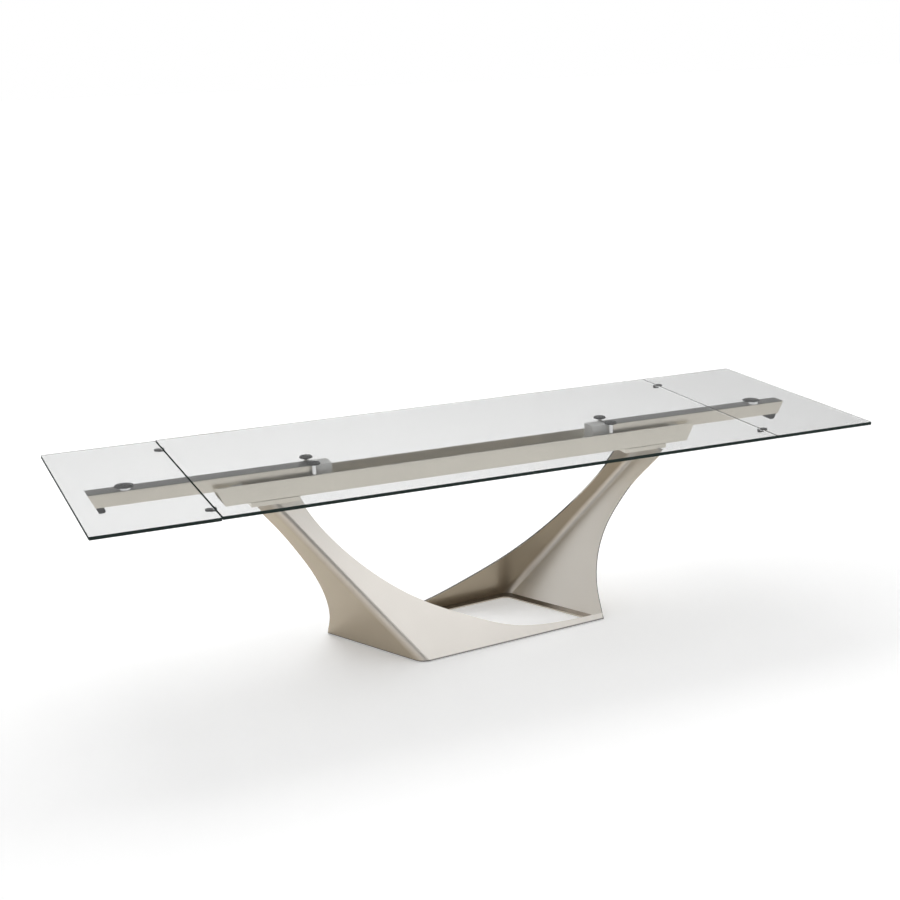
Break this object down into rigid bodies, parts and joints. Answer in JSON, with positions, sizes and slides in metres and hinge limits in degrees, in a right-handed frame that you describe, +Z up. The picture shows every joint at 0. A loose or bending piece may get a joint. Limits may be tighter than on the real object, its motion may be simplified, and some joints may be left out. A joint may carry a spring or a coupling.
{
  "type": "extendable dining table",
  "caption": "Clear glass dining table on two folded sheet-metal legs, with sliding arms in a channel beam that carry a lift-off glass leaf at each end.",
  "frame": {"origin": "on the floor under the middle of the glass top, with the table extended", "axes": "+X along the table's length, +Y across it, +Z up"},
  "size_m": [2.91, 0.99, 0.75],
  "materials": {
    "clear_glass": "clear float glass with ground, polished edges",
    "champagne_paint": "satin champagne lacquer with a fine metallic flake",
    "polished_steel": "bright polished",
    "grey_nylon": "moulded, slightly satin",
    "clear_pad": "clear soft vinyl",
    "dark_handle": "dark grey satin paint",
    "black_glide": "black, matte"
  },
  "bodies": {
    "frame": {"centre_glass_top": "clear_glass", "main_beam": "champagne_paint", "left_leg_sheet": "champagne_paint", "left_foot_plate": "champagne_paint", "left_head_plate": "champagne_paint", "left_head_bolts": "polished_steel", "left_floor_glides": "black_glide", "left_arm_saddle": "grey_nylon", "left_front_post": "polished_steel", "left_front_post_disc": "polished_steel", "left_front_post_pad": "clear_pad", "left_front_clip_tongue": "polished_steel", "left_rear_post": "polished_steel", "left_rear_post_disc": "polished_steel", "left_rear_post_pad": "clear_pad", "left_rear_clip_tongue": "polished_steel", "right_leg_sheet": "champagne_paint", "right_foot_plate": "champagne_paint", "right_head_plate": "champagne_paint", "right_head_bolts": "polished_steel", "right_floor_glides": "black_glide", "right_arm_saddle": "grey_nylon", "right_front_post": "polished_steel", "right_front_post_disc": "polished_steel", "right_front_post_pad": "clear_pad", "right_front_clip_tongue": "polished_steel", "right_rear_post": "polished_steel", "right_rear_post_disc": "polished_steel", "right_rear_post_pad": "clear_pad", "right_rear_clip_tongue": "polished_steel"},
    "left_arm": {"left_arm_tube": "champagne_paint", "left_arm_end_cap": "champagne_paint", "left_arm_pull_handle": "dark_handle", "left_arm_inner_block": "grey_nylon", "left_leaf_hub": "polished_steel", "left_leaf_disc": "polished_steel", "left_leaf_pad": "clear_pad"},
    "right_arm": {"right_arm_tube": "champagne_paint", "right_arm_end_cap": "champagne_paint", "right_arm_pull_handle": "dark_handle", "right_arm_inner_block": "grey_nylon", "right_leaf_hub": "polished_steel", "right_leaf_disc": "polished_steel", "right_leaf_pad": "clear_pad"},
    "left_leaf": {"left_front_leaf_clip": "polished_steel", "left_rear_leaf_clip": "polished_steel", "left_leaf_glass": "clear_glass"},
    "right_leaf": {"right_front_leaf_clip": "polished_steel", "right_rear_leaf_clip": "polished_steel", "right_leaf_glass": "clear_glass"}
  },
  "joints": [
    {"name": "left_arm_slide", "type": "slide", "parent": "frame", "child": "left_arm", "axis": [1, 0, 0], "range_m": [0, 0.418]},
    {"name": "right_arm_slide", "type": "slide", "parent": "frame", "child": "right_arm", "axis": [-1, 0, 0], "range_m": [0, 0.418]},
    {"name": "left_leaf_lift", "type": "slide", "parent": "frame", "child": "left_leaf", "axis": [0, 0, 1], "range_m": [0, 0.15]},
    {"name": "right_leaf_lift", "type": "slide", "parent": "frame", "child": "right_leaf", "axis": [0, 0, 1], "range_m": [0, 0.15]}
  ]
}
